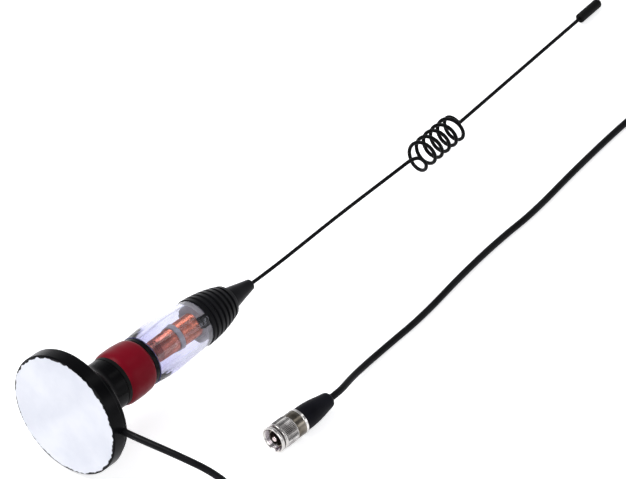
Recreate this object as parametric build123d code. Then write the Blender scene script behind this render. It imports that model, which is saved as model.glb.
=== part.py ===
# Magnetic-mount citizens-band aerial with its coax cable and screw-on connector.
# Millimetres. The aerial lies on its side: the rim of the base and the tip cap
# rest on the floor. Origin: centre of the magnet face. +X: the way the
# connector points its cable, 3 degrees off the aerial. +Z: up.
import os
from math import asin, atan2, cos, degrees, hypot, radians, sin, tan
from build123d import *

# ---- base -------------------------------------------------------------
BASE_R = 45.0
RIM_TOP = 11.4
RIM_ROUND = 1.5
FOOT_BEVEL = 0.8
FILM_R = BASE_R - FOOT_BEVEL
FILM_T = 0.25
SKIRT_WALL = 1.1
CUP_R = BASE_R - SKIRT_WALL
CUP_WALL = 1.4
PLATE_BOTTOM = 5.2
PLATE_TOP = PLATE_BOTTOM + 1.6
WEB_TOP = PLATE_TOP + 2.5
MAGNET_GAP = 2.5
MAGNET_R = CUP_R - CUP_WALL - MAGNET_GAP
POLE_R = 13.0
MAGNET_BORE_R = POLE_R + 2.0
POLE_RECESS_R = POLE_R - 1.5
POLE_RECESS_DEPTH = 0.5
HEAD_H = 2.4
HEAD_ROOM = 0.2
BOLT_R = 3.0
BOLT_HEAD_R = 6.5
TAG_T = 0.6
NUT_ACROSS = 10.0
NUT_H = 4.0
NECK_R = 18.3
NECK_BORE_R = 14.0
NECK_TOP = 45.3
CAVITY_R = BASE_R - 15.0
BOSS_TURN = 24.0
BOSS_RISE = 3.2
BOSS_ROUND = 110.0
INSULATOR_BOTTOM = 36.0
STUD_R = 4.0
STUD_BOTTOM = INSULATOR_BOTTOM - 6.0
STUD_TOP = 57.0
STUD_FLANGE_R = 7.0
STUD_NUT_ACROSS = 13.0
STUD_NUT_H = 4.0

# ---- radiator ---------------------------------------------------------
GASKET_R = 18.4
GASKET_BORE_R = 15.5
COLLAR_BOTTOM = 48.2
COLLAR_TOP = 73.5
COLLAR_BORE_R = 15.0
COLLAR_R = 19.9
COLLAR_FOOT_R = 18.3
COLLAR_MOUTH_R = 17.0
SOCKET_CLEARANCE = 0.05
SOCKET_DEPTH = STUD_TOP + 2.5
SOCKET_TOP = SOCKET_DEPTH + 6.5
SEAL_R = 17.6
SEAL_TOP = 77.4
TUBE_BORE_R = 14.0
TUBE_R = 19.6
TUBE_FOOT_R = 18.2
TUBE_MOUTH_R = 17.5
TUBE_TOP = 131.0
SPIGOT_R = TUBE_MOUTH_R - 1.7
SPIGOT_TOP = TUBE_TOP + 5.0
PLUG_TOP = SEAL_TOP + 1.8
STEM_R = 5.6
LEAD_WINDING_R = 7.0
WINDING_BOTTOM = 90.3
FORMER_R = 6.9
WINDING_R = 8.8
SEPARATOR_R = 9.6
SEPARATOR_BOTTOM = 105.8
SEPARATOR_TOP = SEPARATOR_BOTTOM + 4.0
FORMER_TOP = TUBE_TOP - 3.0
PLUG_BORE_R = 3.0
PLUG_NOTCH = 7.0
PLUG_NOTCH_TURN = 44.0
TOP_PLUG_TOP = FORMER_TOP + 6.0
CAP_TOP = 166.0
CAP_RIBS = 7
CAP_GROOVE = 1.2
CAP_FOOT_R = 18.05
HOLDER_BORE_R = 6.0
HOLDER_FOOT_R = 8.5
HOLDER_MOUTH_R = 4.0
HOLDER_SEAT = CAP_TOP - 6.0
HOLDER_TOP = 190.0
WHIP_R = 1.35
WHIP_FOOT = HOLDER_SEAT - 14.0

# ---- whip and its loading coil -----------------------------------------
COIL_START = 373.3
COIL_LEAD = 3.5
COIL_R = 9.6
COIL_PITCH = 8.9
COIL_TURNS = 6
COIL_SHIFT = 2.2
COIL_DIP = 4.0
COIL_SLOPE = 0.080
WHIP_LEAN_MID = 4.3
WHIP_LEAN_COIL = 7.9
TOP_SLOPE = 0.094
TIP_LENGTH = 27.0
TIP_R = 3.6
TIP_ROUND = TIP_R - 0.3
TIP_END = 620.0

# ---- resting position --------------------------------------------------
HEADING = 3.0

# ---- cable -------------------------------------------------------------
CABLE_R = 2.5
EXIT_Z = 10.6
EXIT_TURN = 7.0
INNER_END_R = 11.0
GROMMET_R = CABLE_R + 0.5
GROMMET_CLEARANCE = 0.05
GROMMET_LENGTH = 6.0
CORD_COIL_X = 70.5
CORD_COIL_Y = -203.0
CORD_COIL_INNER = 20.0
CORD_COIL_OUTER = 40.0
CORD_COIL_H = 20.0
STUB = 20.0
RUN_LEAVES_AT = 250.0

# ---- connector ---------------------------------------------------------
MOUTH_X = 104.9
CONNECTOR_Y = -91.4
RING_R = 9.7
CONNECTOR_H = RING_R
RING_BORE_R = 7.95
RING_LENGTH = 16.2
KNURL_START = 5.6
KNURL_TEETH = 36
KNURL_DEPTH = 0.45
SHOULDER_BACK = RING_LENGTH - 2.7
BARREL_R = 6.6
RING_CLEARANCE = 0.05
AXIAL_GAP = 0.1
REAR_R = 9.3
REAR_END = 23.7
FLANGE_END = REAR_END + 1.8
TAIL_R = 4.0
TAIL_END = FLANGE_END + 5.5
FERRULE_R = 5.0
BOOT_END = 56.0
NOSE_R = 6.3
NOSE_BORE_R = 5.4
NOSE_START = 3.0
INSULATOR_FACE = 8.0
PIN_R = 2.0
PIN_START = 0.8
PIN_END = REAR_END - 1.7


def rest_angle():
    """Slope of the aerial when its rim and its tip cap both touch the floor."""
    tip_centre = TIP_END - TIP_ROUND * cos(atan2(TOP_SLOPE, 1))
    along = tip_centre - (RIM_TOP - RIM_ROUND)
    across = BASE_R - RIM_ROUND - (TIP_R - TIP_ROUND)
    turn = asin((TIP_ROUND - RIM_ROUND) / hypot(along, across))
    return atan2(across, along) - turn


BETA = rest_angle()
FLOOR = -((RIM_TOP - RIM_ROUND) * sin(BETA) + (BASE_R - RIM_ROUND) * cos(BETA) + RIM_ROUND)
TURN = radians(HEADING)
AXIS = Vector(cos(BETA) * cos(TURN), cos(BETA) * sin(TURN), -sin(BETA))
UP = Vector(sin(BETA) * cos(TURN), sin(BETA) * sin(TURN), cos(BETA))
PLACE = Plane(origin=(0, 0, 0), x_dir=UP, z_dir=AXIS)


def place(shape):
    return PLACE.location * shape


def world(point):
    return PLACE.from_local_coords(Vector(*point))


def turned(points):
    """Solid of revolution about the upright axis from (radius, height) corners."""
    wire = Polyline(*[(r, 0, z) for r, z in points], close=True)
    return revolve(make_face(wire), Axis.Z, 360)


def turned_curve(corners, curve):
    """Like turned, with a smooth curve run from the last corner to the first."""
    line = Polyline(*[(r, 0, z) for r, z in corners])
    bend = Spline(*[(r, 0, z) for r, z in curve])
    return revolve(make_face([line, bend]), Axis.Z, 360)


def tube(outer, inner, low, high):
    return turned([(inner, low), (outer, low), (outer, high), (inner, high)])


def rod(radius, low, high):
    return Pos(0, 0, low) * Cylinder(radius, high - low, align=(Align.CENTER, Align.CENTER, Align.MIN))


def hexagon(across, bore, low, high):
    face = RegularPolygon(across / 2, 6, major_radius=False) - Circle(bore)
    return Pos(0, 0, low) * extrude(face, high - low)


def exit_plane():
    """Plane whose +Z runs out along the cable where it leaves the base."""
    turn = radians(EXIT_TURN)
    out = (sin(turn), cos(turn), 0)
    return Plane(origin=(0, 0, EXIT_Z), x_dir=(0, 0, 1), z_dir=out)


def film():
    return rod(FILM_R, 0, FILM_T)


def magnet_cup():
    return turned([(BOLT_R, PLATE_BOTTOM), (CUP_R - CUP_WALL, PLATE_BOTTOM),
                   (CUP_R - CUP_WALL, FILM_T), (CUP_R, FILM_T),
                   (CUP_R, PLATE_TOP), (BOLT_R, PLATE_TOP)])


def ring_magnet():
    body = tube(MAGNET_R, MAGNET_BORE_R, FILM_T, PLATE_BOTTOM)
    return chamfer(body.edges().filter_by(GeomType.CIRCLE).group_by(Axis.Z)[0], 0.5)


def centre_pole():
    head_seat = FILM_T + POLE_RECESS_DEPTH + HEAD_ROOM + HEAD_H
    return turned([(BOLT_R, PLATE_BOTTOM), (POLE_R, PLATE_BOTTOM), (POLE_R, FILM_T),
                   (POLE_RECESS_R, FILM_T), (POLE_RECESS_R, FILM_T + POLE_RECESS_DEPTH),
                   (BOLT_HEAD_R, FILM_T + POLE_RECESS_DEPTH), (BOLT_HEAD_R, head_seat),
                   (BOLT_R, head_seat)])


def clamp_bolt():
    head_low = FILM_T + POLE_RECESS_DEPTH + HEAD_ROOM
    head_seat = head_low + HEAD_H
    bolt_end = WEB_TOP + TAG_T + NUT_H + 2.0
    body = rod(BOLT_HEAD_R, head_low, head_seat) + rod(BOLT_R, head_seat, bolt_end)
    slot = Pos(0, 0, head_low) * Box(2 * BOLT_HEAD_R, 1.2, 2.2)
    return body - slot


def clamp_nut():
    low = WEB_TOP + TAG_T
    return hexagon(NUT_ACROSS, BOLT_R, low, low + NUT_H)


def ground_tag():
    ring = tube(6.2, BOLT_R, WEB_TOP, WEB_TOP + TAG_T)
    tail = Pos(-1.8, 7.6, WEB_TOP) * Box(2.6, 5.4, TAG_T, align=(Align.CENTER, Align.CENTER, Align.MIN))
    return ring + Rot(0, 0, -EXIT_TURN) * (tail - rod(6.0, 0, 20))


def between(start, end, shares):
    """Points from start to end: each share is (part of the way out, part of the way up)."""
    return [(start[0] + (end[0] - start[0]) * out, start[1] + (end[1] - start[1]) * up)
            for out, up in shares]


def shell_outside():
    """Outer profile of the shell, from the rim up the shoulder to the neck."""
    return between((NECK_R, RIM_TOP), (BASE_R - RIM_ROUND, INSULATOR_BOTTOM),
                   [(1, 0), (0.921, 0.033), (0.702, 0.171), (0.425, 0.374), (0.187, 0.610),
                    (0.044, 0.805), (0, 1)])


def shell_inside():
    """Inner profile, from the neck's bore down to the floor of the cavity."""
    return between((NECK_BORE_R, WEB_TOP), (CAVITY_R, INSULATOR_BOTTOM),
                   [(0, 1), (0.0625, 0.798), (0.2875, 0.5655), (0.5875, 0.341), (0.85, 0.161), (1, 0)])


def base_shell():
    curve = shell_outside()
    inner = shell_inside()
    low = FILM_T
    rim = [(BASE_R - RIM_ROUND, RIM_TOP), (BASE_R, RIM_TOP - RIM_ROUND), (BASE_R, low + FOOT_BEVEL),
           (FILM_R, low), (CUP_R, low), (CUP_R, PLATE_TOP), (BOLT_R, PLATE_TOP),
           (BOLT_R, WEB_TOP), inner[-1]]
    neck = [inner[0], (NECK_BORE_R, NECK_TOP), (NECK_R - 0.5, NECK_TOP),
            (NECK_R, NECK_TOP - 0.5), curve[-1]]
    round_edge = ThreePointArc((BASE_R - RIM_ROUND, 0, RIM_TOP),
                               (BASE_R - RIM_ROUND * (1 - sin(radians(45))), 0,
                                RIM_TOP - RIM_ROUND * (1 - cos(radians(45)))),
                               (BASE_R, 0, RIM_TOP - RIM_ROUND))
    lines = [Spline(*[(r, 0, z) for r, z in curve]), round_edge,
             Polyline(*[(r, 0, z) for r, z in rim[1:]]),
             Spline(*[(r, 0, z) for r, z in reversed(inner)]),
             Polyline(*[(r, 0, z) for r, z in neck])]
    body = revolve(make_face(lines), Axis.Z, 360)
    out = exit_plane().location
    boss = cable_boss()
    bore = out * rod(CABLE_R, INNER_END_R, BASE_R + 2)
    seat = out * rod(GROMMET_R, BASE_R - 0.1 - GROMMET_LENGTH, BASE_R + 2)
    return body + boss - bore - seat


def cable_boss():
    """Low wide pad over the cable where it leaves through the rim."""
    top = RIM_TOP + BOSS_RISE
    edge = BASE_R - 0.2
    ring = turned([(CAVITY_R + 1.0, WEB_TOP + 0.2), (edge, WEB_TOP + 0.2), (edge, top - 1.8),
                   (edge - 0.5, top - 0.9), (edge - 1.5, top), (CAVITY_R + 1.0, top)])
    barrel = Cylinder(BOSS_ROUND, BASE_R, align=(Align.CENTER, Align.CENTER, Align.MIN))
    pad = ring & (Pos(0, 0, top - BOSS_ROUND) * Rot(-90, 0, 0) * barrel)
    return Rot(0, 0, -BOSS_TURN) * pad


def cable_grommet():
    ring = tube(GROMMET_R, CABLE_R + GROMMET_CLEARANCE, BASE_R - 0.1 - GROMMET_LENGTH, BASE_R - 0.1)
    return exit_plane().location * ring


def core_lead():
    turn = radians(EXIT_TURN)
    out = Vector(sin(turn), cos(turn), 0)
    points = [out * INNER_END_R + Vector(0, 0, EXIT_Z + 0.9), out * 8.4 + Vector(0, 0, EXIT_Z + 0.9),
              out * 7.6 + Vector(0, 0, 20.0), Vector(0, 0, 25.5), Vector(0, 0, STUD_BOTTOM)]
    path = FilletPolyline(*points, radius=1.1)
    return sweep(Plane(origin=path @ 0, z_dir=path % 0) * Circle(0.6), path=path)


def braid_lead():
    out = exit_plane().location
    return out * Pos(0, 1.8, INNER_END_R - 4.0) * Cylinder(0.7, 4.0, align=(Align.CENTER, Align.CENTER, Align.MIN))


def stud_insulator():
    return tube(NECK_BORE_R, STUD_R, INSULATOR_BOTTOM, NECK_TOP)


def contact_stud():
    body = rod(STUD_R, STUD_BOTTOM, STUD_TOP) + rod(STUD_FLANGE_R, NECK_TOP, COLLAR_BOTTOM)
    return chamfer(body.edges().filter_by(GeomType.CIRCLE).group_by(Axis.Z)[-1], 0.6)


def stud_nut():
    low = INSULATOR_BOTTOM - STUD_NUT_H
    return hexagon(STUD_NUT_ACROSS, STUD_R, low, INSULATOR_BOTTOM)


def base_gasket():
    return tube(GASKET_R, GASKET_BORE_R, NECK_TOP, COLLAR_BOTTOM)


def socket_insert():
    bore = STUD_R + SOCKET_CLEARANCE
    return turned([(bore, COLLAR_BOTTOM), (COLLAR_BORE_R, COLLAR_BOTTOM), (COLLAR_BORE_R, SOCKET_TOP),
                   (0, SOCKET_TOP), (0, SOCKET_DEPTH), (bore, SOCKET_DEPTH)])


def red_collar():
    foot = (COLLAR_FOOT_R, COLLAR_BOTTOM)
    mouth = (COLLAR_MOUTH_R, COLLAR_TOP)
    corners = [mouth, (COLLAR_BORE_R, COLLAR_TOP), (COLLAR_BORE_R, COLLAR_BOTTOM), foot]
    low = between(foot, (COLLAR_R, COLLAR_TOP), [(0, 0), (0.75, 0.103), (1, 0.308), (1, 0.545)])
    high = between((COLLAR_MOUTH_R, COLLAR_BOTTOM), (COLLAR_R, COLLAR_TOP),
                   [(0.828, 0.783), (0.517, 0.941), (0, 1)])
    return turned_curve(corners, low + high)


def lower_plug():
    return turned([(0, SOCKET_TOP), (COLLAR_BORE_R, SOCKET_TOP), (COLLAR_BORE_R, COLLAR_TOP),
                   (TUBE_BORE_R, COLLAR_TOP), (TUBE_BORE_R, PLUG_TOP), (0, PLUG_TOP)])


def seal_ring():
    body = tube(SEAL_R, TUBE_BORE_R, COLLAR_TOP, SEAL_TOP)
    edges = body.edges().filter_by(GeomType.CIRCLE).filter_by(lambda e: e.radius > SEAL_R - 0.1)
    return chamfer(edges, 0.4)


def clear_tube():
    foot = (TUBE_FOOT_R, SEAL_TOP)
    corners = [(TUBE_MOUTH_R, TUBE_TOP), (SPIGOT_R, TUBE_TOP), (SPIGOT_R, SPIGOT_TOP),
               (TUBE_BORE_R, SPIGOT_TOP), (TUBE_BORE_R, SEAL_TOP), foot]
    low = between(foot, (TUBE_R, TUBE_TOP), [(0, 0), (0.43, 0.12), (0.79, 0.25), (1, 0.365)])
    high = between((TUBE_MOUTH_R, SEAL_TOP), (TUBE_R, TUBE_TOP),
                   [(0.81, 0.5), (0.52, 0.65), (0.285, 0.8), (0, 1)])
    return turned_curve(corners, low + high)


def coil_former():
    return turned([(0, PLUG_TOP), (STEM_R, PLUG_TOP), (STEM_R, WINDING_BOTTOM), (FORMER_R, WINDING_BOTTOM),
                   (FORMER_R, FORMER_TOP), (PLUG_BORE_R, FORMER_TOP), (PLUG_BORE_R, TOP_PLUG_TOP),
                   (0, TOP_PLUG_TOP)])


def lower_winding():
    """Close turns up to the separator, above looser turns down round the stem."""
    return turned([(STEM_R, PLUG_TOP), (LEAD_WINDING_R, PLUG_TOP), (LEAD_WINDING_R, WINDING_BOTTOM),
                   (WINDING_R, WINDING_BOTTOM), (WINDING_R, SEPARATOR_BOTTOM), (FORMER_R, SEPARATOR_BOTTOM),
                   (FORMER_R, WINDING_BOTTOM), (STEM_R, WINDING_BOTTOM)])


def top_plug():
    body = tube(TUBE_BORE_R, PLUG_BORE_R, FORMER_TOP, TOP_PLUG_TOP)
    reach = TUBE_BORE_R - WINDING_R
    notch = Box(PLUG_NOTCH, 2 * reach, 8.0)
    return body - Rot(0, 0, -PLUG_NOTCH_TURN) * Pos(0, TUBE_BORE_R + 0.3, FORMER_TOP) * notch


def ribbed_cap():
    """Tapering cap with blunt ribs between shallow grooves."""
    low = TUBE_TOP
    step = (CAP_TOP - 1.0 - low) / CAP_RIBS
    points = [(SPIGOT_R, low), (SPIGOT_R, SPIGOT_TOP), (HOLDER_BORE_R, SPIGOT_TOP),
              (HOLDER_BORE_R, CAP_TOP), (cap_radius(CAP_TOP) - 1.2, CAP_TOP)]
    for k in reversed(range(CAP_RIBS)):
        z = low + k * step
        crest = cap_radius(z + 0.5 * step)
        root = crest - CAP_GROOVE
        points += [(cap_radius(z + 0.95 * step) - CAP_GROOVE, z + 0.99 * step),
                   (cap_radius(z + 0.80 * step), z + 0.80 * step),
                   (cap_radius(z + 0.25 * step), z + 0.25 * step),
                   (root, z + 0.06 * step)]
    return turned(points)


def cap_radius(z):
    """Radius over the ribs, falling faster towards the top."""
    t = (z - TUBE_TOP) / (CAP_TOP - TUBE_TOP)
    return CAP_FOOT_R - 1.6 * t - 5.1 * t ** 2.2


def whip_ferrule():
    return rod(HOLDER_BORE_R, TOP_PLUG_TOP, HOLDER_SEAT) - rod(WHIP_R, WHIP_FOOT, HOLDER_SEAT)


def whip_holder():
    """Smooth cone that grips the foot of the whip."""
    points = [(WHIP_R, HOLDER_SEAT), (HOLDER_BORE_R, HOLDER_SEAT), (HOLDER_BORE_R, CAP_TOP)]
    points += between((HOLDER_MOUTH_R, CAP_TOP), (HOLDER_FOOT_R, HOLDER_TOP),
                      [(0.91, 0), (1, 0.025), (0.96, 0.092), (0.71, 0.333), (0.42, 0.583),
                       (0.156, 0.833), (0, 0.98)])
    points += [(HOLDER_MOUTH_R - 0.4, HOLDER_TOP), (WHIP_R, HOLDER_TOP)]
    return turned(points)


def lean(z, y):
    """Point of the whip: z along the aerial, y the sideways lean away from the cable."""
    return Vector(0, -y, z)


def coil_points():
    """Centre line of the loading coil, turn by turn, right-handed."""
    slope = atan2(COIL_SLOPE, 1)
    along = Vector(0, -sin(slope), cos(slope))
    side = Vector(0, cos(slope), sin(slope))
    down = along.cross(side)
    start = lean(COIL_START, WHIP_LEAN_COIL - COIL_SHIFT) + along * COIL_LEAD
    points = []
    for deg in range(-50, 360 * COIL_TURNS - 130 + 1, 20):
        radius = COIL_R
        if deg < 0:
            radius = COIL_R * sin(radians(deg + 90))
        past = deg - (360 * COIL_TURNS - 180)
        if past > 0:
            radius = COIL_R * cos(radians(past))
        step = COIL_PITCH * (deg + 90) / 360 - COIL_DIP * max(0, 150 - deg) / 240
        turn = radians(deg)
        points.append(start + along * step + (side * cos(turn) + down * sin(turn)) * radius)
    end = start + along * (COIL_PITCH * COIL_TURNS + COIL_LEAD)
    return points, end


def whip_path():
    points, end = coil_points()
    foot = lean(WHIP_FOOT, 0)
    mouth = lean(HOLDER_TOP - 4.0, 0)
    middle = lean(280.0, WHIP_LEAN_MID)
    before = lean(COIL_START - 2.0 - COIL_DIP, WHIP_LEAN_COIL)
    top = atan2(TOP_SLOPE, 1)
    way = Vector(0, -sin(top), cos(top))
    tip = end + way * ((TIP_END - 6.0 - end.Z) / cos(top))
    rise = (before - middle).normalized()
    low = Spline(mouth, middle, before, tangents=[(0, 0, 1), rise], tangent_scalars=[1, 1])
    turns = Spline(before, *points, end, tangents=[rise, way], tangent_scalars=[1, 1])
    wire = Wire([Line(foot, mouth), low, turns, Line(end, tip)])
    return wire, end, way


def whip():
    wire, end, way = whip_path()
    start = Plane(origin=wire @ 0, z_dir=wire % 0)
    return sweep(start * Circle(WHIP_R), path=wire)


def tip_cap():
    wire, end, way = whip_path()
    slope = atan2(TOP_SLOPE, 1)
    length = (TIP_END - end.Z) / cos(slope)
    body = rod(TIP_R, length - TIP_LENGTH, length)
    body = fillet(body.edges().filter_by(GeomType.CIRCLE).group_by(Axis.Z)[-1], TIP_ROUND)
    body = chamfer(body.edges().filter_by(GeomType.CIRCLE).group_by(Axis.Z)[0], 0.5)
    body -= rod(WHIP_R, length - TIP_LENGTH - 1, (TIP_END - 6.0 - end.Z) / cos(slope))
    return Plane(origin=end, x_dir=(1, 0, 0), z_dir=way).location * body


# ---- cable -------------------------------------------------------------

def bend_radii(points):
    """Radius at each corner: the arc takes 0.45 of the shorter run beside it."""
    radii = []
    for a, b, c in zip(points, points[1:], points[2:]):
        half = radians((b - a).get_angle(c - b)) / 2
        shorter = min((b - a).length, (c - b).length)
        radii.append(0.45 * shorter / tan(half))
    return radii


def cable(points):
    """Round cable through the points: straight runs joined by tangent arcs."""
    radii = bend_radii(points)
    edges = []
    here = points[0]
    length = 0.0
    for k, radius in enumerate(radii):
        a, b, c = points[k:k + 3]
        into = (b - a).normalized()
        away = (c - b).normalized()
        half = into.get_angle(away) / 2
        cut = radius * tan(radians(half))
        first = b - into * cut
        last = b + away * cut
        if (first - here).length > 1e-6:
            edges.append(Line(here, first))
        inward = (away - into).normalized()
        centre = b + inward * (radius / cos(radians(half)))
        edges.append(ThreePointArc(first, centre - inward * radius, last))
        length += (first - here).length + radius * radians(2 * half)
        here = last
    edges.append(Line(here, points[-1]))
    length += (points[-1] - here).length
    wire = Wire(edges)
    solid = sweep(Plane(origin=wire @ 0, z_dir=wire % 0) * Circle(CABLE_R), path=wire)
    print("bend radii", [round(r) for r in radii], "length", round(length, 1),
          "volume ratio", round(solid.volume / (3.14159265 * CABLE_R ** 2 * length), 4))
    return solid


def exit_way():
    turn = radians(EXIT_TURN)
    foot = world((0, 0, EXIT_Z))
    out = world((sin(turn), cos(turn), EXIT_Z)) - foot
    return foot, out


def coil_top_z():
    return FLOOR + CORD_COIL_H - CABLE_R


def lead_end():
    x = CORD_COIL_X - (CORD_COIL_OUTER - CABLE_R)
    return Vector(x, CORD_COIL_Y + STUB, coil_top_z())


def coax_lead():
    """From inside the base, out through the rim, down to the coiled cable."""
    foot, out = exit_way()
    end = lead_end()
    points = [foot + out * INNER_END_R, foot + out * 58.0, Vector(20.9, -86.0, 5.4),
              Vector(29.5, -113.0, 0.2), Vector(32.0, -134.0, -10.0), Vector(32.9, -152.0, -20.4),
              Vector(end.X, end.Y + 13.5, end.Z), end]
    return cable(points)


def run_start():
    turn = radians(RUN_LEAVES_AT)
    mean = CORD_COIL_OUTER - CABLE_R
    leave = Vector(CORD_COIL_X + mean * cos(turn), CORD_COIL_Y + mean * sin(turn), FLOOR + CABLE_R)
    way = Vector(-sin(turn), cos(turn), 0)
    return leave, way


def coax_coil():
    """The put-away turns as one ring, with a short straight stub at each end."""
    ring = Pos(CORD_COIL_X, CORD_COIL_Y, 0) * tube(CORD_COIL_OUTER, CORD_COIL_INNER, FLOOR, FLOOR + CORD_COIL_H)
    ring = fillet(ring.edges().filter_by(GeomType.CIRCLE), CABLE_R - 0.1)
    end = lead_end()
    lead_stub = Plane(origin=end, z_dir=(0, -1, 0)).location * rod(CABLE_R, 0, STUB)
    leave, way = run_start()
    run_stub = Plane(origin=leave, z_dir=way).location * rod(CABLE_R, 0, STUB)
    return ring + lead_stub + run_stub


def coax_run():
    """From the coiled cable round over the floor and back to the connector."""
    leave, way = run_start()
    z = FLOOR + CABLE_R
    start = leave + way * STUB
    far = [(166.1, -274.7), (220.2, -289.2), (256.2, -290.4), (293.8, -276.7), (342.3, -248.7),
           (389.3, -218.2), (435.2, -186.1), (479.2, -153.8), (514.0, -126.6), (546.2, -100.7)]
    bend = [(563.0, -86.6), (567.4, -68.9), (560.4, -51.8), (544.8, -42.2)]
    near = [(510.0, -45.0), (457.0, -51.8), (405.0, -60.3), (368.0, -61.9), (322.0, -67.3),
            (272.0, -76.2), (234.0, -78.8)]
    rise = [Vector(206.0, -81.9, z + 1.3), Vector(188.0, -85.6, z + 4.0)]
    inside = Vector(MOUTH_X + FLANGE_END + 0.5, CONNECTOR_Y, FLOOR + CONNECTOR_H)
    mouth = Vector(MOUTH_X + BOOT_END + 10.0, CONNECTOR_Y, FLOOR + CONNECTOR_H)
    flat = [Vector(x, y, z) for x, y in far + bend + near]
    return cable([start, start + way * 32.0] + flat + rise + [mouth, inside])


# ---- connector ---------------------------------------------------------

def socket_plane():
    """Plane at the connector's mouth, +Z running back along the connector."""
    return Plane(origin=(MOUTH_X, CONNECTOR_Y, FLOOR + CONNECTOR_H), x_dir=(0, 0, 1), z_dir=(1, 0, 0))


def knurl(low, high):
    points = []
    for k in range(2 * KNURL_TEETH):
        turn = radians(180.0 * k / KNURL_TEETH)
        radius = RING_R - (k % 2) * KNURL_DEPTH
        points.append((radius * cos(turn), radius * sin(turn)))
    face = make_face(Polyline(*points, close=True))
    return Pos(0, 0, low) * extrude(face, high - low)


def coupling_ring():
    body = turned([(0, 0), (RING_R - 0.3, 0), (RING_R, 0.3), (RING_R, 2.0), (8.9, 2.3), (8.9, 3.9),
                   (RING_R - 0.15, 4.2), (RING_R - 0.15, KNURL_START), (0, KNURL_START)])
    body += knurl(KNURL_START, RING_LENGTH)
    flange_front = SHOULDER_BACK + AXIAL_GAP
    bore = turned([(0, -1), (RING_BORE_R + 0.4, -1), (RING_BORE_R + 0.4, 0.5), (RING_BORE_R, 0.9),
                   (RING_BORE_R, flange_front), (0, flange_front)])
    return body - bore - rod(BARREL_R + RING_CLEARANCE, -1, RING_LENGTH + 1)


def connector_body():
    nose = [(NOSE_BORE_R, NOSE_START), (NOSE_R, NOSE_START), (NOSE_R, 10.5), (7.5, 10.5),
            (7.5, SHOULDER_BACK), (BARREL_R, SHOULDER_BACK), (BARREL_R, RING_LENGTH + AXIAL_GAP)]
    rear = [(REAR_R - 0.3, RING_LENGTH + AXIAL_GAP), (REAR_R, RING_LENGTH + AXIAL_GAP + 0.3),
            (REAR_R, REAR_END), (RING_R - 0.2, REAR_END + 0.2), (RING_R - 0.2, FLANGE_END),
            (TAIL_R, FLANGE_END), (TAIL_R, TAIL_END), (CABLE_R, TAIL_END), (CABLE_R, PIN_END),
            (NOSE_BORE_R, PIN_END)]
    body = turned(nose + rear)
    notch = Pos(0, 0, NOSE_START) * Box(2 * NOSE_R + 1, 1.6, 2.4)
    return body - notch - Rot(0, 0, 90) * notch


def connector_insulator():
    return tube(NOSE_BORE_R, PIN_R, INSULATOR_FACE, PIN_END - 2.0)


def centre_pin():
    body = rod(PIN_R, PIN_START, PIN_END)
    return fillet(body.edges().filter_by(GeomType.CIRCLE).group_by(Axis.Z)[0], 1.2)


def cable_ferrule():
    return tube(FERRULE_R, TAIL_R, FLANGE_END, TAIL_END)


def connector_boot():
    corners = [(3.4, BOOT_END), (CABLE_R, BOOT_END), (CABLE_R, TAIL_END), (FERRULE_R, TAIL_END),
               (FERRULE_R, FLANGE_END), (8.5, FLANGE_END)]
    curve = [(8.5, FLANGE_END), (8.6, 34.5), (7.5, 43.5), (6.1, 51.5), (5.2, 54.8), (3.4, BOOT_END)]
    return turned_curve(corners, curve)


# ---- the whole part ----------------------------------------------------

def node(shape, name):
    solids = shape.solids()
    if len(solids) != 1:
        print("check:", name, "has", len(solids), "solids")
    result = solids[0] if len(solids) == 1 else Compound(children=solids)
    result.label = name
    return result


def aerial_nodes():
    separator = tube(SEPARATOR_R, FORMER_R, SEPARATOR_BOTTOM, SEPARATOR_TOP)
    winding_high = tube(WINDING_R, FORMER_R, SEPARATOR_TOP, FORMER_TOP)
    shapes = {
        "protective_film": film(), "magnet_cup": magnet_cup(), "ring_magnet": ring_magnet(),
        "centre_pole": centre_pole(), "clamp_bolt": clamp_bolt(), "clamp_nut": clamp_nut(),
        "ground_tag": ground_tag(), "base_shell": base_shell(), "cable_grommet": cable_grommet(),
        "core_lead": core_lead(), "braid_lead": braid_lead(), "stud_insulator": stud_insulator(),
        "contact_stud": contact_stud(), "stud_nut": stud_nut(), "base_gasket": base_gasket(),
        "socket_insert": socket_insert(), "red_collar": red_collar(), "lower_plug": lower_plug(),
        "seal_ring": seal_ring(), "clear_tube": clear_tube(), "coil_former": coil_former(),
        "lower_winding": lower_winding(), "separator_ring": separator, "upper_winding": winding_high,
        "top_plug": top_plug(), "ribbed_cap": ribbed_cap(), "whip_ferrule": whip_ferrule(),
        "whip_holder": whip_holder(), "whip": whip(), "tip_cap": tip_cap()}
    return [node(place(shape), name) for name, shape in shapes.items()]


def connector_nodes():
    there = socket_plane().location
    shapes = {
        "coupling_ring": coupling_ring(), "connector_body": connector_body(),
        "connector_insulator": connector_insulator(), "centre_pin": centre_pin(),
        "cable_ferrule": cable_ferrule(), "connector_boot": connector_boot()}
    return [node(there * shape, name) for name, shape in shapes.items()]


def cable_nodes():
    return [node(coax_lead(), "coax_lead"), node(coax_coil(), "coax_coil"), node(coax_run(), "coax_run")]


print("slope", round(degrees(BETA), 4), "floor", round(FLOOR, 4))
os.makedirs("parts", exist_ok=True)
for piece in aerial_nodes() + cable_nodes() + connector_nodes():
    export_step(piece, "parts/" + piece.label + ".step")
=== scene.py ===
import bpy
import bmesh
from math import cos, pi, radians, sin
from mathutils import Matrix, Vector, noise


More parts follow.
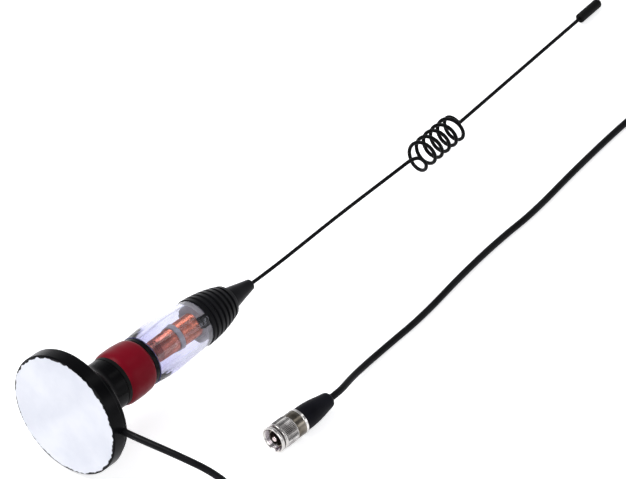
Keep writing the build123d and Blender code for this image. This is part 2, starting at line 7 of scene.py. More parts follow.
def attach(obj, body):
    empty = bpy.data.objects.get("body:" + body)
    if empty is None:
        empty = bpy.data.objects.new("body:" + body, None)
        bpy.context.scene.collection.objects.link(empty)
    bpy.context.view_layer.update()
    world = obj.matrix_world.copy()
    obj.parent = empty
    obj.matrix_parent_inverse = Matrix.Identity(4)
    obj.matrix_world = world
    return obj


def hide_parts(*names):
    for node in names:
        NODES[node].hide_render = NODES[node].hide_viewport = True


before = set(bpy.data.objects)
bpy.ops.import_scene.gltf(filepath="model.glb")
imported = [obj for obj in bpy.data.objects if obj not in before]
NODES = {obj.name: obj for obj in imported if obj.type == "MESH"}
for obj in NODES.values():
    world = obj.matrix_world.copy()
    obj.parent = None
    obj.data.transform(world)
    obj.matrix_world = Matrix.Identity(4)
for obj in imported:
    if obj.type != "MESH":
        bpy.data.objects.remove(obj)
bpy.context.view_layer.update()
MM = 0.001

# ---- places: the aerial lies on its rim and its tip cap ---------------------
SLOPE = radians(3.9026)
HEADING = radians(3.0)
FLOOR = -0.045573
AXIS = Vector((cos(SLOPE) * cos(HEADING), cos(SLOPE) * sin(HEADING), -sin(SLOPE)))
UP = Vector((sin(SLOPE) * cos(HEADING), sin(SLOPE) * sin(HEADING), cos(SLOPE)))
SIDE = AXIS.cross(UP)
AERIAL = Matrix((UP, SIDE, AXIS)).transposed().to_4x4()
MOUTH = Vector((0.1049, -0.0914, FLOOR + 0.0097))
PLUG_TURN = Matrix(((0, 0, 1), (0, -1, 0), (1, 0, 0))).to_4x4()
PLUG = Matrix.Translation(MOUTH) @ PLUG_TURN

# ---- camera -----------------------------------------------------------------
SENSOR = 36.0
PICTURE_WIDTH = 626.0
FOCAL_PIXELS = 5000.0
CAMERA_PLACE = (-1.642203, -1.767693, 2.284181)
CAMERA_WAY = Vector((0.546339, 0.512660, -0.662339))


def make_camera():
    data = bpy.data.cameras.new("camera")
    cam = bpy.data.objects.new("camera", data)
    bpy.context.scene.collection.objects.link(cam)
    data.sensor_width = SENSOR
    data.lens = SENSOR * FOCAL_PIXELS / PICTURE_WIDTH
    data.clip_start = 0.1
    data.clip_end = 50.0
    cam.location = CAMERA_PLACE
    cam.rotation_mode = "QUATERNION"
    cam.rotation_quaternion = CAMERA_WAY.to_track_quat("-Z", "Y")
    bpy.context.scene.camera = cam


make_camera()


# ---- shader nodes -----------------------------------------------------------
def new_material(name):
    mat = bpy.data.materials.new(name)
    mat.use_nodes = True
    return mat, mat.node_tree, mat.node_tree.nodes["Principled BSDF"]


def set_inputs(node, **values):
    """Plain values for inputs, with _ written for each blank in a name."""
    for name, value in values.items():
        node.inputs[name.replace("_", " ")].default_value = value


def object_place(tree):
    return tree.nodes.new("ShaderNodeTexCoord").outputs["Object"]


def noise_node(tree, place, scale):
    node = tree.nodes.new("ShaderNodeTexNoise")
    node.inputs["Scale"].default_value = scale
    tree.links.new(place, node.inputs["Vector"])
    return node


def math_node(tree, operation, first, second):
    """Two inputs, each a socket or a number."""
    node = tree.nodes.new("ShaderNodeMath")
    node.operation = operation
    for target, value in zip(node.inputs, (first, second)):
        if isinstance(value, (int, float)):
            target.default_value = value
        else:
            tree.links.new(value, target)
    return node.outputs[0]


def map_node(tree, value, start, end, low, high):
    node = tree.nodes.new("ShaderNodeMapRange")
    set_inputs(node, From_Min=start, From_Max=end, To_Min=low, To_Max=high)
    tree.links.new(value, node.inputs["Value"])
    return node.outputs["Result"]


def tint_base(tree, factor, first, second):
    """Base colour between the first one, a colour or a socket, and the second."""
    node = tree.nodes.new("ShaderNodeMix")
    node.data_type = "RGBA"
    tree.links.new(factor, node.inputs["Factor"])
    if isinstance(first, tuple):
        node.inputs["A"].default_value = (*first, 1)
    else:
        tree.links.new(first, node.inputs["A"])
    node.inputs["B"].default_value = (*second, 1)
    tree.links.new(node.outputs["Result"], tree.nodes["Principled BSDF"].inputs["Base Color"])


# ---- materials --------------------------------------------------------------
COLOUR_SPREAD = 0.18
ROUGH_SPREAD = 0.05
CLEAR_COLOUR = (0.97, 0.97, 1.0)
# painted shade: the tube's colour turns this darker violet towards its foot
CLEAR_FOOT_SHADE_COLOUR = (0.74, 0.72, 0.87)
CLEAR_FOOT_SHADE_SPAN = (0.080, 0.100)


def shade(tree, shader, low, high, scale):
    """Slight variation of colour and roughness from noise in object space."""
    rough = shader.inputs["Roughness"].default_value
    place = object_place(tree)
    tex = noise_node(tree, place, scale)
    tex.inputs["Detail"].default_value = 4.0
    ramp = tree.nodes.new("ShaderNodeValToRGB")
    first, last = ramp.color_ramp.elements
    first.position = 0.5 - COLOUR_SPREAD
    last.position = 0.5 + COLOUR_SPREAD
    first.color = (*low, 1)
    last.color = (*high, 1)
    tree.links.new(tex.outputs["Fac"], ramp.inputs["Fac"])
    tree.links.new(ramp.outputs["Color"], shader.inputs["Base Color"])
    span = map_node(tree, tex.outputs["Fac"], 0.0, 1.0, rough - ROUGH_SPREAD, rough + ROUGH_SPREAD)
    tree.links.new(span, shader.inputs["Roughness"])
    return place


def add_bump(tree, shader, place, scale, strength, distance):
    tex = noise_node(tree, place, scale)
    bump = tree.nodes.new("ShaderNodeBump")
    set_inputs(bump, Strength=strength, Distance=distance)
    tree.links.new(tex.outputs["Fac"], bump.inputs["Height"])
    tree.links.new(bump.outputs["Normal"], shader.inputs["Normal"])


def plain(name, low, high, rough, metal=0.0, scale=60.0, bump=(900.0, 0.15, 0.0001), spec=0.5):
    """Opaque material between two colours; bump is its scale, strength and depth."""
    mat, tree, shader = new_material(name)
    set_inputs(shader, Roughness=rough, Metallic=metal, Specular_IOR_Level=spec)
    place = shade(tree, shader, low, high, scale)
    if bump:
        add_bump(tree, shader, place, *bump)
    return mat


def clear_plastic():
    """Clear acrylic, a little violet where it is thick, with a painted violet shade towards its
    foot.
    """
    mat, tree, shader = new_material("clear_acrylic")
    set_inputs(shader, Base_Color=(*CLEAR_COLOUR, 1), Roughness=0.02, IOR=1.45,
               Transmission_Weight=1.0, Specular_IOR_Level=0.06)
    depth = tree.nodes.new("ShaderNodeVolumeAbsorption")
    set_inputs(depth, Color=(0.10, 0.12, 0.66, 1), Density=24.0)
    tree.links.new(depth.outputs["Volume"], tree.nodes["Material Output"].inputs["Volume"])
    place = object_place(tree)
    along = tree.nodes.new("ShaderNodeVectorMath")
    along.operation = "DOT_PRODUCT"
    along.inputs[1].default_value = AXIS
    tree.links.new(place, along.inputs[0])
    # painted shade, darker violet towards the tube's foot
    fade = map_node(tree, along.outputs["Value"], *CLEAR_FOOT_SHADE_SPAN, 0.0, 1.0)
    tint_base(tree, fade, CLEAR_FOOT_SHADE_COLOUR, CLEAR_COLOUR)
    add_bump(tree, shader, place, 55.0, 0.10, 0.0004)
    return mat


SMOOTH_BUMP = (300.0, 0.06, 0.0002)
GRAIN_BUMP = (1400.0, 0.25, 0.00008)

BLACK_GLOSS = plain("black_gloss_plastic", (0.0018, 0.0018, 0.0022), (0.0040, 0.0040, 0.0046),
                    0.22, bump=SMOOTH_BUMP, spec=0.05)
BLACK_SATIN = plain("black_satin_plastic", (0.0026, 0.0026, 0.0034), (0.0060, 0.0060, 0.0074),
                    0.32, bump=GRAIN_BUMP, spec=0.08)
BLACK_RUBBER = plain("black_rubber", (0.004, 0.004, 0.004), (0.008, 0.008, 0.008), 0.5, spec=0.06)
BOOT = plain("boot_plastic", (0.0036, 0.0036, 0.0056), (0.0075, 0.0075, 0.0110), 0.45,
             bump=GRAIN_BUMP, spec=0.05)
SEAL = plain("black_seal", (0.0022, 0.0022, 0.0028), (0.0050, 0.0050, 0.0060), 0.26,
             bump=SMOOTH_BUMP, spec=0.08)
CABLE = plain("cable_jacket", (0.0036, 0.0036, 0.0042), (0.0085, 0.0085, 0.0095), 0.34,
              bump=(700.0, 0.12, 0.0001), spec=0.09)
WIRE = plain("black_coated_wire", (0.0026, 0.0026, 0.0028), (0.0055, 0.0055, 0.0060), 0.34,
             spec=0.05)
RED = plain("red_gloss_plastic", (0.145, 0.0026, 0.0088), (0.185, 0.0040, 0.0130), 0.32,
            scale=35.0, bump=(260.0, 0.05, 0.0002), spec=0.06)
NICKEL = plain("nickel_plate", (0.52, 0.50, 0.48), (0.68, 0.66, 0.64), 0.20, metal=1.0,
               bump=(500.0, 0.08, 0.0001))
# painted shade: darker nickel for the knurl's teeth
KNURL_SHADE = plain("knurled_nickel_painted_shade", (0.20, 0.19, 0.185), (0.56, 0.545, 0.53), 0.18, metal=1.0,
              scale=120.0, bump=None)
# painted shade: dark nickel for the groove behind the ring's lip
GROOVE_SHADE = plain("groove_nickel_painted_shade", (0.05, 0.045, 0.045), (0.10, 0.09, 0.09), 0.35, metal=1.0,
               scale=200.0, bump=None)
# painted reflection: the plug body's nickel, darkened in place of dark surroundings mirrored in it
NICKEL_DARK_REFLECTION = plain("nickel_painted_dark_reflection", (0.050, 0.040, 0.026), (0.26, 0.235, 0.20), 0.22, metal=1.0,
                    scale=85.0)
# painted shade: darker, purplish nickel for the thread deep in the ring's bore
BORE_SHADE_NICKEL = plain("bore_nickel_painted_shade", (0.34, 0.30, 0.32), (0.56, 0.52, 0.54), 0.24, metal=1.0, scale=260.0)
# painted shade: the plug's white insulator, deep in its bowl, coloured dark purple-grey
INSULATOR_SHADE = plain("insulator_painted_shade", (0.070, 0.050, 0.060), (0.13, 0.10, 0.115), 0.5, scale=300.0,
                   spec=0.2)
PIN = plain("pin_nickel", (0.60, 0.50, 0.49), (0.80, 0.70, 0.69), 0.22, metal=1.0, scale=300.0)
STEEL = plain("zinc_steel", (0.45, 0.46, 0.48), (0.60, 0.60, 0.61), 0.38, metal=1.0)
BRASS = plain("turned_brass", (0.62, 0.44, 0.18), (0.72, 0.54, 0.26), 0.28, metal=1.0)
COPPER = plain("copper_winding", (0.30, 0.085, 0.045), (0.58, 0.20, 0.12), 0.22, metal=1.0,
               scale=220.0, bump=None)
BLACK_COAT = plain("black_coated_steel", (0.006, 0.006, 0.007), (0.014, 0.014, 0.016), 0.4,
                   spec=0.1)
FERRITE = plain("ferrite", (0.03, 0.03, 0.032), (0.05, 0.05, 0.053), 0.6)
GREY = plain("grey_plastic", (0.35, 0.335, 0.33), (0.44, 0.42, 0.41), 0.5, spec=0.3)
WHITE = plain("dielectric", (0.70, 0.68, 0.62), (0.80, 0.78, 0.73), 0.42)
PLUG_GREY = plain("grey_cement", (0.31, 0.30, 0.29), (0.42, 0.405, 0.385), 0.42, scale=140.0,
                  spec=0.3)
PALE_PLUG = plain("pale_plug", (0.52, 0.52, 0.60), (0.64, 0.64, 0.72), 0.4, scale=120.0)
# painted shade: violet colour of the cement line, seen through the tube's foot
CEMENT_SHADE = plain("tube_cement_shade", (0.22, 0.22, 0.42), (0.32, 0.32, 0.54), 0.4, scale=140.0, spec=0.3)
FORMER = plain("dark_former", (0.10, 0.045, 0.03), (0.17, 0.075, 0.05), 0.5)
FILM = plain("white_film", (0.66, 0.68, 0.75), (0.77, 0.785, 0.84), 0.30, scale=38.0,
             bump=(120.0, 0.18, 0.0006))
CLEAR = clear_plastic()

LOOKS = {
    "protective_film": FILM, "magnet_cup": BLACK_COAT, "ring_magnet": FERRITE,
    "centre_pole": STEEL, "clamp_bolt": STEEL, "clamp_nut": STEEL, "ground_tag": STEEL,
    "base_shell": BLACK_GLOSS, "cable_grommet": BLACK_RUBBER, "core_lead": COPPER,
    "braid_lead": COPPER, "stud_insulator": WHITE, "contact_stud": BRASS, "stud_nut": STEEL,
    "base_gasket": BLACK_RUBBER, "socket_insert": BRASS, "red_collar": RED,
    "lower_plug": PALE_PLUG, "seal_ring": SEAL, "clear_tube": CLEAR, "coil_former": FORMER,
    "lower_winding": COPPER, "separator_ring": GREY, "upper_winding": COPPER,
    "top_plug": PLUG_GREY, "ribbed_cap": BLACK_SATIN, "whip_ferrule": BRASS,
    "whip_holder": BLACK_SATIN, "whip": WIRE, "tip_cap": BLACK_RUBBER, "coax_lead": CABLE,
    "coax_coil": CABLE, "coax_run": CABLE, "coupling_ring": NICKEL,
    "connector_body": NICKEL_DARK_REFLECTION, "connector_insulator": INSULATOR_SHADE, "centre_pin": PIN,
    "cable_ferrule": BRASS, "connector_boot": BOOT,
}


def dress_nodes():
    for name, mat in LOOKS.items():
        obj = NODES[name]
        obj.data.materials.clear()
        obj.data.materials.append(mat)


dress_nodes()

# ---- building pieces --------------------------------------------------------
SHARP_EDGE = radians(38)


def link(obj):
    bpy.context.scene.collection.objects.link(obj)
    return obj


def mesh_object(name, bm, mat, smooth=True):
    """Object from a bmesh, shaded smooth except at its sharp edges."""
    mesh = bpy.data.meshes.new(name)
    bm.normal_update()
    for edge in bm.edges:
        if len(edge.link_faces) == 2 and edge.calc_face_angle() > SHARP_EDGE:
            edge.smooth = False
    bm.to_mesh(mesh)
    bm.free()
    for poly in mesh.polygons:
        poly.use_smooth = smooth
    mesh.materials.append(mat)
    return link(bpy.data.objects.new(name, mesh))


def on_aerial(p):
    """Point of the aerial, in mm, in the frame."""
    return AERIAL @ (Vector(p) * MM)


def ring_of(bm, place, steps, z, radius):
    """Ring of vertices at height z; radius(turn) and z are in mm."""
    ring = []
    for k in range(steps):
        t = 2 * pi * k / steps
        r = radius(t)
        ring.append(bm.verts.new(place @ (Vector((r * cos(t), r * sin(t), z)) * MM)))
    return ring


def skin(bm, rings):
    """Faces from ring to ring, and from the last one back to the first."""
    faces = []
    for a, b in zip(rings, rings[1:] + rings[:1]):
        for k in range(len(a)):
            n = (k + 1) % len(a)
            faces.append(bm.faces.new((a[k], a[n], b[n], b[k])))
    bmesh.ops.recalc_face_normals(bm, faces=bm.faces)
    return faces


def turned(name, profile, mat, place, steps):
    """Closed surface of revolution of (radius, height) points in mm."""
    bm = bmesh.new()
    skin(bm, [ring_of(bm, place, steps, z, lambda t, r=r: r) for r, z in profile])
    return mesh_object(name, bm, mat)


def round_wire(name, points, radius, mat, resolution, bevel):
    """Round wire along a smooth curve that points in the frame control."""
    curve = bpy.data.curves.new(name, "CURVE")
    curve.dimensions = "3D"
    spline = curve.splines.new("NURBS")
    spline.points.add(len(points) - 1)
    for target, p in zip(spline.points, points):
        target.co = (*p, 1.0)
    spline.order_u = 3
    spline.use_endpoint_u = True
    spline.resolution_u = resolution
    curve.bevel_depth = radius
    curve.bevel_resolution = bevel
    curve.use_fill_caps = True
    curve.materials.append(mat)
    return link(bpy.data.objects.new(name, curve))


def waver(t, height, quickness, seed):
    """Smooth unevenness round a ring."""
    return height * noise.noise(Vector((quickness * cos(t), quickness * sin(t), seed)))


# ---- the cord, sizes in metres, LEAD and FAR in mm --------------------------
CABLE_R = 0.0025
CABLE_LOW = FLOOR + CABLE_R
EXIT_FOOT = AXIS * 0.0106
EXIT_TURN = radians(7)
EXIT_WAY = UP * sin(EXIT_TURN) + SIDE * cos(EXIT_TURN)
COIL_C = Vector((0.0705, -0.203, 0))
COIL_OUT = 0.0375
COIL_WIDE = 0.015
COIL_LAYERS = 4
COIL_STEPS = 183
COIL_START = pi
COIL_SPAN = radians(360 * 12 + 70)
COIL_LEVEL = 0.82  # share of a layer before its turns drop to the next
LEAVE_TURN = radians(250)
TOP_LAYER = CABLE_LOW + 2 * CABLE_R * (COIL_LAYERS - 1)

# distances of control points from the base's axis, the coil, the floor and the plug's mouth
EXIT_STOPS = (0.036, 0.046, 0.058)
LEAVE_STOPS = (0, 0.014, 0.052)
RISE = [(0.206, -0.0819, 0.0013), (0.188, -0.0858, 0.004)]
PLUG_STOPS = (0.066, 0.048, 0.032)

# from the base down to the coil, and from the coil round the far bend to the plug
LEAD = [(20.9, -86.0, 5.4), (29.5, -113.0, 0.2), (32.0, -134.0, -10.0), (32.9, -152.0, -20.4)]
FAR = [(166.1, -274.7), (220.2, -289.2), (256.2, -290.4), (293.8, -276.7), (342.3, -248.7),
       (389.3, -218.2), (435.2, -186.1), (479.2, -153.8), (514.0, -126.6), (546.2, -100.7),
       (563.0, -86.6), (567.4, -68.9), (559.6, -51.6), (543.2, -42.4),
       (510.0, -45.0), (457.0, -51.8), (405.0, -60.3), (368.0, -61.9), (322.0, -67.3),
       (272.0, -76.2), (234.0, -78.8)]


def coil_turns():
    """Four layers of three turns, from the outside of the top one to that of the lowest."""
    points = []
    for k in range(COIL_STEPS):
        t = k / COIL_STEPS
        turn = COIL_START + COIL_SPAN * t
        layer = min(COIL_LAYERS - 1, int(COIL_LAYERS * t))
        part = COIL_LAYERS * t - layer
        across = part if layer % 2 == 0 else 1 - part
        radius = COIL_OUT - COIL_WIDE * across
        drop = 0.0
        if layer < COIL_LAYERS - 1:
            drop = min(1.0, max(0.0, (part - COIL_LEVEL) / (1 - COIL_LEVEL)))
        z = CABLE_LOW + 2 * CABLE_R * (COIL_LAYERS - 1 - layer - drop)
        points.append(Vector((COIL_C.x + radius * cos(turn), COIL_C.y + radius * sin(turn), z)))
    return points


def cord_points():
    """From the base over the coil and round the far bend to the plug."""
    points = [EXIT_FOOT + EXIT_WAY * r for r in EXIT_STOPS]
    points += [Vector(p) * MM for p in LEAD]
    points += [Vector((0.033, y, TOP_LAYER)) for y in (-0.1695, -0.183)]
    points += coil_turns()
    leave = Vector((COIL_C.x + COIL_OUT * cos(LEAVE_TURN), COIL_C.y + COIL_OUT * sin(LEAVE_TURN),
                    CABLE_LOW))
    way = Vector((-sin(LEAVE_TURN), cos(LEAVE_TURN), 0))
    points += [leave + way * r for r in LEAVE_STOPS]
    points += [Vector((x * MM, y * MM, CABLE_LOW)) for x, y in FAR]
    points += [Vector((x, y, CABLE_LOW + up)) for x, y, up in RISE]
    points += [MOUTH + Vector((along, 0, 0)) for along in PLUG_STOPS]
    return points


def make_cord():
    cord = round_wire("coax_cord", cord_points(), CABLE_R, CABLE, 6, 6)
    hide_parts("coax_lead", "coax_coil", "coax_run")
    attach(cord, "base")


make_cord()

# ---- windings, sizes in mm --------------------------------------------------
WINDING_R = 8.8
WINDING_BORE = 7.0
STEM_BORE = 5.8
WIRE_PITCH = 0.70
RIDGE = 0.2
GROWTH = 0.75
LEAD_R = 6.3  # the lead of the lower winding, open round the stem
LEAD_WIRE_R = 0.65
LEAD_PITCH = 1.42
LEAD_PARTS = 16


def winding(name, node, low, high, growing=0):
    """Close-wound wire as a ridged sleeve; the first few turns may grow from the stem."""
    profile = [(STEM_BORE if growing else WINDING_BORE, low)]
    count = int((high - low) / WIRE_PITCH)
    step = (high - low) / count
    valley = WINDING_R - RIDGE
    for k in range(count):
        short = max(0.0, growing - k) * GROWTH
        for t in (0.0, 0.25, 0.5, 0.75):
            ridge = RIDGE * sin(pi * t) ** 0.6
            profile.append((valley - short + ridge, low + (k + t) * step))
    profile += [(valley, high), (WINDING_BORE, high)]
    obj = turned(name, profile, COPPER, AERIAL, 64)
    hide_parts(node)
    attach(obj, "radiator")


def loose_turns(name, node, low, high):
    """The winding's lead, wound open round the stem, as one bent wire."""
    count = int((high - low) / LEAD_PITCH * LEAD_PARTS)
    points = []
    for k in range(count + 1):
        turn = 2 * pi * k / LEAD_PARTS
        z = low + (high - low) * k / count
        points.append(on_aerial((LEAD_R * cos(turn), LEAD_R * sin(turn), z)))
    obj = round_wire(name, points, LEAD_WIRE_R * MM, COPPER, 3, 3)
    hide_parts(node)
    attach(obj, "radiator")


winding("winding_lower_wire", "lower_winding", 88.7, 105.8, growing=3)
winding("winding_upper_wire", "upper_winding", 109.8, 128.0)
loose_turns("winding_lead_wire", "lower_winding", 79.9, 88.8)

# ---- the clear tube and what lies in it, sizes in mm ------------------------
TUBE_FOOT = 77.41
TUBE_TOP = 130.98
TUBE_BORE = 14.02
SPIGOT_R = 15.78
SPIGOT_TOP = 135.98
TUBE_STEPS = 192
TUBE_BULGE = [(18.2, TUBE_FOOT), (18.80, 83.8), (19.31, 90.8), (19.58, 97.0), (19.20, 104.2),
              (18.59, 112.2), (18.10, 120.3), (17.5, TUBE_TOP)]
TUBE_INSIDE = [(SPIGOT_R, TUBE_TOP), (SPIGOT_R, SPIGOT_TOP), (TUBE_BORE, SPIGOT_TOP),
               (TUBE_BORE, TUBE_FOOT)]
RIPPLE = 0.05
RIPPLE_FROM = 17.0
TUBE_SLACK = 0.03
CEMENT_LINE = [(14.05, 77.42), (18.0, 77.42), (18.0, 77.50), (14.05, 77.50)]
PAD_PLACE = (0.0, 11.5, 129.4)
PAD_SIZE = (6.6, 4.5, 5.0)
PAD_TURN = radians(42)
TAIL_WIRE_R = 0.45
TAIL_STOPS = [(5, 8.9, 127.0), (20, 9.4, 127.4), (36, 10.6, 128.6), (40, 11.2, 130.5)]


def smooth_points(points, parts=8):
    """Points on a smooth curve through the given ones."""
    full = [Vector(points[0]) * 2 - Vector(points[1])] + [Vector(p) for p in points]
    full.append(full[-1] * 2 - full[-2])
    out = []
    for a, b, c, d in zip(full, full[1:], full[2:], full[3:]):
        for k in range(parts):
            t = k / parts
            out.append((b * 2 + (c - a) * t + (a * 2 - b * 5 + c * 4 - d) * t ** 2
                        + (b * 3 - a - c * 3 + d) * t ** 3) * 0.5)
    return out + [Vector(points[-1])]


def housing_tube():
    """Clear tube with a soft bulge and the faint lengthwise ripple of a moulding."""
    bm = bmesh.new()
    rings = []
    for r, z in [tuple(p) for p in smooth_points(TUBE_BULGE)] + TUBE_INSIDE:
        def radius(t, r=r, z=z):
            ripple = waver(t, RIPPLE, 6, z * 0.01) if r > RIPPLE_FROM else 0.0
            return r + ripple - TUBE_SLACK
        rings.append(ring_of(bm, AERIAL, TUBE_STEPS, z, radius))
    skin(bm, rings)
    obj = mesh_object("housing_tube", bm, CLEAR)
    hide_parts("clear_tube")
    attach(obj, "radiator")


def tube_cement_shade():
    """The line of cement under the tube, coloured violet as painted shade seen through the tube's
    foot.
    """
    ring = turned("tube_cement_shade", CEMENT_LINE, CEMENT_SHADE, AERIAL, 72)
    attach(ring, "radiator")


def slot_pad():
    """The soft block in the top plug's notch."""
    bm = bmesh.new()
    bmesh.ops.create_cube(bm, size=1.0)
    for v in bm.verts:
        side, out, up = (c + n * size for c, n, size in zip(PAD_PLACE, v.co, PAD_SIZE))
        v.co = on_aerial((out * sin(PAD_TURN) + side * cos(PAD_TURN),
                          out * cos(PAD_TURN) - side * sin(PAD_TURN), up))
    bmesh.ops.bevel(bm, geom=bm.edges[:], offset=0.0005, segments=3, affect="EDGES")
    pad = mesh_object("plug_slot_pad", bm, BLACK_RUBBER)
    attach(pad, "radiator")


def wire_tail():
    """The upper winding's end, from its last turn out to the notch."""
    points = []
    for degrees_up, radius, z in TAIL_STOPS:
        turn = radians(degrees_up)
        points.append(on_aerial((radius * sin(turn), radius * cos(turn), z)))
    tail = round_wire("winding_tail", points, TAIL_WIRE_R * MM, COPPER, 8, 4)
    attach(tail, "radiator")


# ---- the plug, sizes in mm from its mouth -----------------------------------
THREAD_OUTSIDE = 7.93
THREAD_ROOT = 7.89
THREAD_CREST = 7.6
THREAD_START = 1.0
THREAD_TURNS = 9
THREAD_END = 10.2
THREAD_TOOTH = [(THREAD_ROOT, THREAD_START), (THREAD_CREST, 1.35), (THREAD_CREST, 1.5),
                (THREAD_ROOT, 1.85)]
RING_STEPS = 336
KNURL_ROWS = 22
KNURL_TEETH = 56
KNURL_LOW = 5.6
KNURL_LONG = 10.2
KNURL_R = 9.42
KNURL_STRAIGHT = 0.22
KNURL_SLANTED = 0.06
KNURL_SLANT = 5.0
# the knurl and groove places take darker nickel as painted shade
PLAIN, TEETH, SUNK = 0, 1, 2  # material places: nickel, knurl, groove
RING_LIP = [(8.5, 0.0, PLAIN), (9.45, 0.0, PLAIN), (9.7, 0.3, PLAIN), (9.7, 1.7, PLAIN),
            (9.4, 2.1, PLAIN), (8.8, 2.3, SUNK), (8.8, 3.7, SUNK), (9.4, 4.0, PLAIN),
            (9.55, 4.3, PLAIN), (9.55, 5.3, PLAIN)]
RING_BACK = [(9.3, 16.2, PLAIN), (6.66, 16.2, PLAIN), (6.66, 13.65, PLAIN),
             (7.94, 13.65, PLAIN), (7.94, 0.9, PLAIN), (8.3, 0.5, PLAIN)]

# the flange of the plug's body, in metres from its mouth, and its painted highlight
FLANGE_FRONT = 0.0237
FLANGE_BACK = 0.0256
FLANGE_HIGHLIGHT = (0.78, 0.76, 0.74)


def ring_thread():
    """Thread inside the coupling ring, as plain ridges in nickel darkened as painted shade."""
    profile = [(THREAD_OUTSIDE, THREAD_START)]
    for k in range(THREAD_TURNS):
        profile += [(r, z + k) for r, z in THREAD_TOOTH]
    profile += [(THREAD_ROOT, THREAD_END), (THREAD_OUTSIDE, THREAD_END)]
    obj = turned("ring_thread", profile, BORE_SHADE_NICKEL, PLUG, 96)
    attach(obj, "coupling_nut")


def knurl_radius(t, z):
    """Straight teeth crossed by shallower slanted ones."""
    return (KNURL_R + KNURL_STRAIGHT * cos(KNURL_TEETH * t)
            + KNURL_SLANTED * cos(KNURL_TEETH * t + z * KNURL_SLANT))


def knurled_ring():
    """Coupling ring with a fine diamond knurl, between its lip and its back edge; knurl and groove
    in darker nickel as painted shade.
    """
    rows = [(None, KNURL_LOW + KNURL_LONG * k / KNURL_ROWS, TEETH) for k in range(KNURL_ROWS + 1)]
    outline = RING_LIP + rows + RING_BACK
    bm = bmesh.new()
    rings = []
    for r, z, look in outline:
        def radius(t, r=r, z=z):
            return knurl_radius(t, z) if r is None else r
        rings.append(ring_of(bm, PLUG, RING_STEPS, z, radius))
    faces = skin(bm, rings)
    looks = [look for r, z, look in outline]
    for i, face in enumerate(faces):
        row = i // RING_STEPS
        same = looks[row] == looks[(row + 1) % len(looks)]
        face.material_index = looks[row] if same else PLAIN
    obj = mesh_object("coupling_ring_knurled", bm, NICKEL)
    obj.data.materials.append(KNURL_SHADE)
    obj.data.materials.append(GROOVE_SHADE)
    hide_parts("coupling_ring")
    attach(obj, "coupling_nut")


def painted_highlight_band(mat, low, high, colour):
    """Painted highlight: a lighter colour between two places along X, for a flange of the same
    turned piece.
    """
    tree = mat.node_tree
    ramp = tree.nodes["Principled BSDF"].inputs["Base Color"].links[0].from_node
    part = tree.nodes.new("ShaderNodeSeparateXYZ")
    tree.links.new(object_place(tree), part.inputs["Vector"])
    above = math_node(tree, "GREATER_THAN", part.outputs["X"], low)
    below = math_node(tree, "LESS_THAN", part.outputs["X"], high)
    both = math_node(tree, "MULTIPLY", above, below)
    tint_base(tree, both, ramp.outputs["Color"], colour)


housing_tube()
tube_cement_shade()
slot_pad()
wire_tail()
ring_thread()
knurled_ring()
painted_highlight_band(NICKEL_DARK_REFLECTION, MOUTH.x + FLANGE_FRONT, MOUTH.x + FLANGE_BACK, FLANGE_HIGHLIGHT)

# ---- film, sizes in mm ------------------------------------------------------
FILM_STEPS = 240
FILM_FACE = 0.06
FILM_THICK = 0.00018
FILM_RADII = [6.0, 9.0, 10.4, 11.0, 11.6, 12.2, 13.0, 16.0, 20.0, 25.0, 30.0, 35.0, 39.0,
              41.2, 42.4]
EDGE_MIDDLE = 43.4
EDGE_LEAST = 42.7
EDGE_MOST = 44.1
POLE_MARK_R = 11.6
POLE_MARK_WIDE = 0.9
POLE_MARK_DEEP = 0.10


def film_edge(t):
    """Radius of the unevenly cut edge: a slow wave and a quick one."""
    q = EDGE_MIDDLE + waver(t, 0.8, 4.5, 3.0)
    q += waver(t, 1.6, 15, 9.0)
    return max(EDGE_LEAST, min(EDGE_MOST, q))


def film_sheet():
    """Thin cut film with a slightly uneven edge and a faint ring from the pole under it."""
    bm = bmesh.new()
    rings = []
    for r in FILM_RADII:
        dip = POLE_MARK_DEEP * max(0.0, 1 - abs(r - POLE_MARK_R) / POLE_MARK_WIDE)
        ring = []
        for k in range(FILM_STEPS):
            t = 2 * pi * k / FILM_STEPS
            wave = 0.05 * noise.noise(Vector((r * cos(t) * 0.12, r * sin(t) * 0.12, 1.0)))
            ring.append(bm.verts.new(on_aerial((r * cos(t), r * sin(t), FILM_FACE + dip + wave))))
        rings.append(ring)
    rings.append(ring_of(bm, AERIAL, FILM_STEPS, FILM_FACE, film_edge))
    middle = bm.verts.new(on_aerial((0, 0, FILM_FACE)))
    for k in range(FILM_STEPS):
        bm.faces.new((middle, rings[0][k], rings[0][(k + 1) % FILM_STEPS]))
    rings.append([bm.verts.new(v.co + AXIS * FILM_THICK) for v in rings[-1]])
    for a, b in zip(rings, rings[1:]):
        for k in range(FILM_STEPS):
            n = (k + 1) % FILM_STEPS
            bm.faces.new((a[k], b[k], b[n], a[n]))
    bmesh.ops.recalc_face_normals(bm, faces=bm.faces)
    obj = mesh_object("film_sheet", bm, FILM)
    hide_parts("protective_film")
    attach(obj, "base")


film_sheet()

# ---- floor, world and lamps -------------------------------------------------
FLOOR_HALF = 6
FLOOR_DROP = 0.0002

# name, place, what it points at, size, power
LAMPS = [
    ("key", (-0.5, 0.9, 1.7), (0.2, 0, 0), (1.1, 1.1), 27),
    ("front", (-1.3, -1.1, 1.1), (0.1, 0, 0), (1.2, 0.8), 12),
    ("right", (1.25, -0.43, 1.70), (0.12, 0, 0), (0.5, 0.5), 1.3),
    ("low_right", (1.25, -1.60, 0.72), (0.12, 0, 0), (0.5, 0.5), 1.3),
]


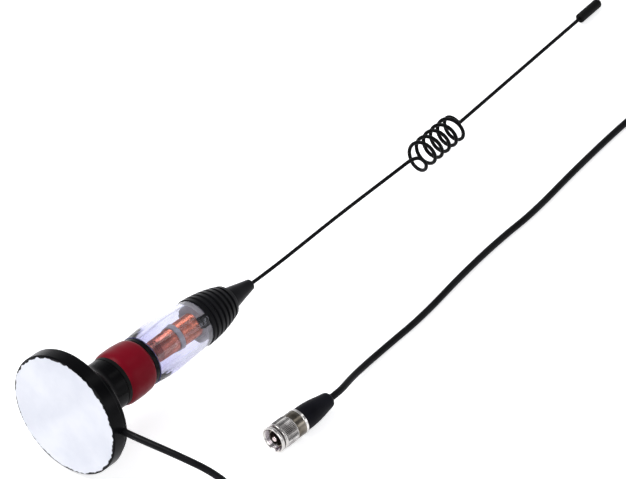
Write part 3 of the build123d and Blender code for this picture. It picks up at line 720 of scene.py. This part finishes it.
def ray_kinds(tree, camera, through, mirrored):
    """A strength for camera rays, others for transmitted and mirrored ones, 0 for the rest."""
    rays = tree.nodes.new("ShaderNodeLightPath").outputs
    value = math_node(tree, "MULTIPLY", rays["Is Camera Ray"], camera)
    for name, level in (("Is Transmission Ray", through), ("Is Glossy Ray", mirrored)):
        value = math_node(tree, "MAXIMUM", value, math_node(tree, "MULTIPLY", rays[name], level))
    return value


def make_floor():
    bm = bmesh.new()
    for x, y in ((-1, -1), (1, -1), (1, 1), (-1, 1)):
        bm.verts.new((x * FLOOR_HALF, y * FLOOR_HALF, FLOOR - FLOOR_DROP))
    bm.faces.new(bm.verts)
    mat, tree, shader = new_material("floor_white")
    set_inputs(shader, Base_Color=(0.90, 0.90, 0.91, 1), Roughness=0.9, Specular_IOR_Level=0.0,
               Emission_Color=(1, 1, 1, 1))
    tree.links.new(ray_kinds(tree, 0.60, 0.45, 0.40), shader.inputs["Emission Strength"])
    mesh_object("floor", bm, mat, smooth=False)


def lamp(name, place, target, size, power):
    data = bpy.data.lights.new(name, "AREA")
    data.shape = "RECTANGLE"
    data.size, data.size_y = size
    data.energy = power
    obj = link(bpy.data.objects.new(name, data))
    obj.location = place
    obj.rotation_mode = "QUATERNION"
    obj.rotation_quaternion = (Vector(target) - Vector(place)).to_track_quat("-Z", "Y")


def make_light():
    """White seen directly and near the horizon, dimmer overhead, so that black stays black."""
    world = bpy.data.worlds.new("studio")
    bpy.context.scene.world = world
    world.use_nodes = True
    tree = world.node_tree
    back = tree.nodes["Background"]
    set_inputs(back, Color=(0.95, 0.96, 1.0, 1))
    height = tree.nodes.new("ShaderNodeSeparateXYZ")
    way = tree.nodes.new("ShaderNodeTexCoord").outputs["Generated"]
    tree.links.new(way, height.inputs["Vector"])
    fade = map_node(tree, height.outputs["Z"], 0.25, 0.60, 0.95, 0.30)
    seen = ray_kinds(tree, 1.0, 0.75, 0.0)
    tree.links.new(math_node(tree, "MAXIMUM", seen, fade), back.inputs["Strength"])
    for row in LAMPS:
        lamp(*row)


make_floor()
make_light()
bpy.context.scene.view_settings.view_transform = "Standard"
